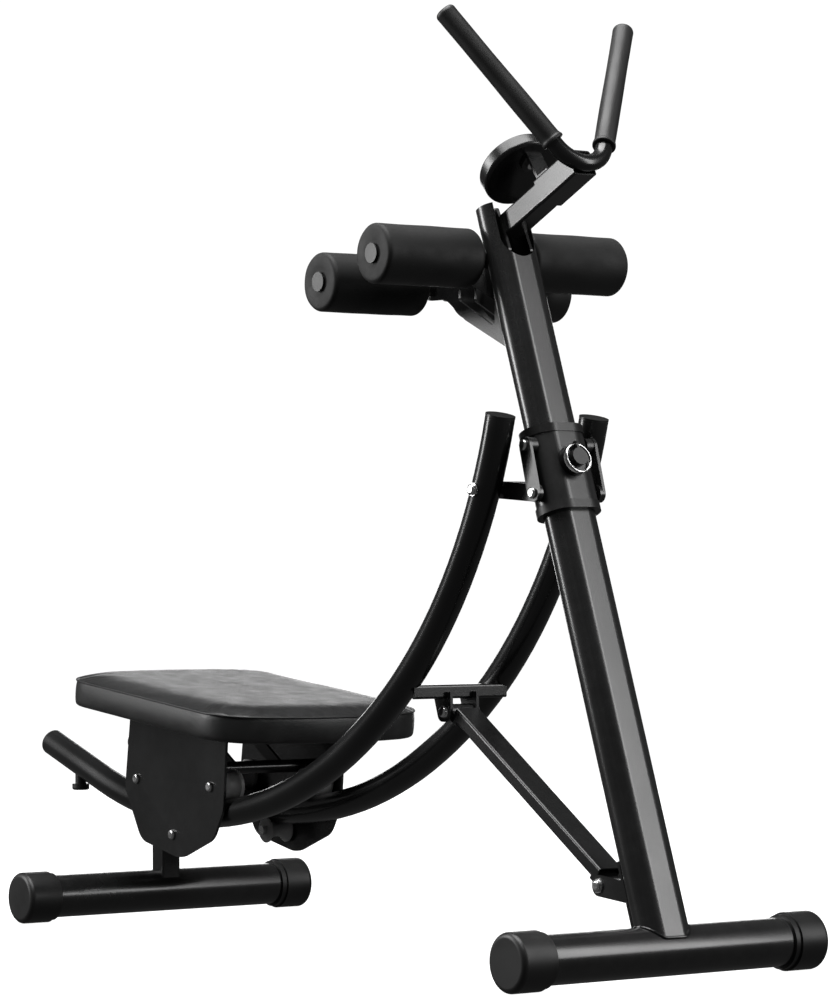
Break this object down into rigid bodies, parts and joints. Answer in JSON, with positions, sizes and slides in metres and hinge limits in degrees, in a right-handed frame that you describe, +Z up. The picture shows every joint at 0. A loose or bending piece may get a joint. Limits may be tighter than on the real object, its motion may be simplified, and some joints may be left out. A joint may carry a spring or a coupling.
{
  "type": "ab crunch machine",
  "caption": "Kneeling ab crunch machine: padded carriage on curved twin rails, leaning post with foam arm rollers and a V handlebar.",
  "frame": {"origin": "on the floor, at the middle of the machine's length and width", "axes": "+X towards the front stabiliser and post, +Y to the user's left, +Z up"},
  "size_m": [1.3771, 0.476, 1.1929],
  "materials": {
    "frame_paint": "gloss black powder coat on steel",
    "cap_rubber": "moulded black rubber",
    "plug_plastic": "black moulded plastic",
    "fastener_chrome": "bright plated steel",
    "grip_foam": "black rubber foam sleeve",
    "roller_foam": "black closed-cell foam",
    "roller_nylon": "grey nylon",
    "pad_vinyl": "smooth black vinyl over foam",
    "monitor_shell": "black ABS shell",
    "monitor_lens": "dark display window",
    "button_plastic": "grey button"
  },
  "bodies": {
    "main_frame": {"front_stabilizer": "frame_paint", "front_cap_left": "cap_rubber", "front_cap_right": "cap_rubber", "post": "frame_paint", "strut_foot_bracket": "frame_paint", "strut_foot_bolt": "fastener_chrome", "foam_bracket": "frame_paint", "foam_bar_top": "frame_paint", "foam_bar_low": "frame_paint", "foam_bar_plugs": "plug_plastic", "stem_stub": "frame_paint", "stem": "frame_paint", "handlebar": "frame_paint", "grip_left": "grip_foam", "grip_right": "grip_foam", "monitor_bracket": "frame_paint", "monitor_housing": "monitor_shell", "monitor_screen": "monitor_lens", "monitor_bolt": "fastener_chrome"},
    "monitor_button": {"monitor_button": "button_plastic"},
    "height_sleeve": {"sleeve": "frame_paint", "sleeve_bush_top": "plug_plastic", "sleeve_bush_bottom": "plug_plastic"},
    "pull_pin": {"pull_pin": "fastener_chrome"},
    "pull_ring": {"pull_ring": "fastener_chrome"},
    "links": {"link_left": "frame_paint", "link_right": "frame_paint", "link_bolts": "fastener_chrome"},
    "strut": {"strut": "frame_paint"},
    "rail_frame": {"rail_left": "frame_paint", "rail_right": "frame_paint", "rail_tail_plugs": "plug_plastic", "rail_top_plugs": "plug_plastic", "head_tube": "frame_paint", "head_bolts": "fastener_chrome", "rail_arms": "frame_paint", "rail_cross_member": "frame_paint", "strut_top_bolt": "fastener_chrome", "rear_post": "frame_paint", "rear_tube": "frame_paint", "rear_stabilizer": "frame_paint", "rear_cap_left": "cap_rubber", "rear_cap_right": "cap_rubber", "rail_bumpers": "cap_rubber"},
    "carriage": {"carriage_plate_left": "frame_paint", "carriage_plate_right": "frame_paint", "carriage_brace": "frame_paint", "seat_board": "plug_plastic", "knee_pad": "pad_vinyl", "roller_axles": "fastener_chrome"},
    "roller_front_left": {"roller_front_left": "roller_nylon"},
    "roller_rear_left": {"roller_rear_left": "roller_nylon"},
    "roller_lower_left": {"roller_lower_left": "roller_nylon"},
    "roller_front_right": {"roller_front_right": "roller_nylon"},
    "roller_rear_right": {"roller_rear_right": "roller_nylon"},
    "roller_lower_right": {"roller_lower_right": "roller_nylon"},
    "foam_top_left": {"foam_top_left": "roller_foam"},
    "foam_top_right": {"foam_top_right": "roller_foam"},
    "foam_low_left": {"foam_low_left": "roller_foam"},
    "foam_low_right": {"foam_low_right": "roller_foam"}
  },
  "joints": [
    {"name": "height_fold", "type": "hinge", "parent": "main_frame", "child": "strut", "pos_m": [0.55757, 0, 0.10901], "axis": [0, -1, 0], "range_deg": [0, 6.49]},
    {"name": "rail_fold", "type": "hinge", "parent": "strut", "child": "rail_frame", "pos_m": [0.24057, 0, 0.31201], "axis": [0, -1, 0], "range_deg": [-9.43, 0]},
    {"name": "sleeve_slide", "type": "slide", "parent": "main_frame", "child": "height_sleeve", "axis": [-0.3327, 0, 0.943], "range_m": [-0.0503, 0]},
    {"name": "link_swing", "type": "hinge", "parent": "height_sleeve", "child": "links", "pos_m": [0.45317, 0, 0.64691], "axis": [0, -1, 0], "range_deg": [-22.69, 0]},
    {"name": "pull_pin_slide", "type": "slide", "parent": "height_sleeve", "child": "pull_pin", "axis": [0.943, 0, 0.3327], "range_m": [0, 0.012], "stiffness_N_per_m": 400, "springref_m": -0.01},
    {"name": "pull_ring_swing", "type": "hinge", "parent": "pull_pin", "child": "pull_ring", "pos_m": [0.48796, 0, 0.64755], "axis": [0, -1, 0], "range_deg": [0, 60]},
    {"name": "monitor_button_press", "type": "slide", "parent": "main_frame", "child": "monitor_button", "axis": [0.7071, 0, -0.7071], "range_m": [0, 0.0015], "stiffness_N_per_m": 600, "springref_m": -0.001},
    {"name": "carriage_roll", "type": "hinge", "parent": "rail_frame", "child": "carriage", "pos_m": [-0.28743, 0, 0.93851], "axis": [0, -1, 0], "range_deg": [-8, 31]},
    {"name": "roller_front_left_turn", "type": "hinge", "parent": "carriage", "child": "roller_front_left", "pos_m": [-0.20461, 0.0735, 0.20014], "axis": [0, 1, 0], "continuous": true},
    {"name": "roller_rear_left_turn", "type": "hinge", "parent": "carriage", "child": "roller_rear_left", "pos_m": [-0.39853, 0.0735, 0.20387], "axis": [0, 1, 0], "continuous": true},
    {"name": "roller_lower_left_turn", "type": "hinge", "parent": "carriage", "child": "roller_lower_left", "pos_m": [-0.30296, 0.0735, 0.12966], "axis": [0, 1, 0], "continuous": true},
    {"name": "roller_front_right_turn", "type": "hinge", "parent": "carriage", "child": "roller_front_right", "pos_m": [-0.20461, -0.0735, 0.20014], "axis": [0, 1, 0], "continuous": true},
    {"name": "roller_rear_right_turn", "type": "hinge", "parent": "carriage", "child": "roller_rear_right", "pos_m": [-0.39853, -0.0735, 0.20387], "axis": [0, 1, 0], "continuous": true},
    {"name": "roller_lower_right_turn", "type": "hinge", "parent": "carriage", "child": "roller_lower_right", "pos_m": [-0.30296, -0.0735, 0.12966], "axis": [0, 1, 0], "continuous": true},
    {"name": "foam_top_left_turn", "type": "hinge", "parent": "main_frame", "child": "foam_top_left", "pos_m": [0.32264, 0.115, 0.88805], "axis": [0, 1, 0], "continuous": true},
    {"name": "foam_top_right_turn", "type": "hinge", "parent": "main_frame", "child": "foam_top_right", "pos_m": [0.32264, -0.115, 0.88805], "axis": [0, 1, 0], "continuous": true},
    {"name": "foam_low_left_turn", "type": "hinge", "parent": "main_frame", "child": "foam_low_left", "pos_m": [0.20387, 0.115, 0.86071], "axis": [0, 1, 0], "continuous": true},
    {"name": "foam_low_right_turn", "type": "hinge", "parent": "main_frame", "child": "foam_low_right", "pos_m": [0.20387, -0.115, 0.86071], "axis": [0, 1, 0], "continuous": true}
  ],
  "couplings": [
    {"joint": "rail_fold", "follows": "height_fold", "ratio": -1.445},
    {"joint": "sleeve_slide", "follows": "height_fold", "m_per_rad": -0.44151},
    {"joint": "link_swing", "follows": "height_fold", "ratio": -3.4664},
    {"joint": "roller_front_left_turn", "follows": "carriage_roll", "ratio": 42.278},
    {"joint": "roller_rear_left_turn", "follows": "carriage_roll", "ratio": 42.278},
    {"joint": "roller_lower_left_turn", "follows": "carriage_roll", "ratio": -79.9},
    {"joint": "roller_front_right_turn", "follows": "carriage_roll", "ratio": 42.278},
    {"joint": "roller_rear_right_turn", "follows": "carriage_roll", "ratio": 42.278},
    {"joint": "roller_lower_right_turn", "follows": "carriage_roll", "ratio": -79.9}
  ]
}
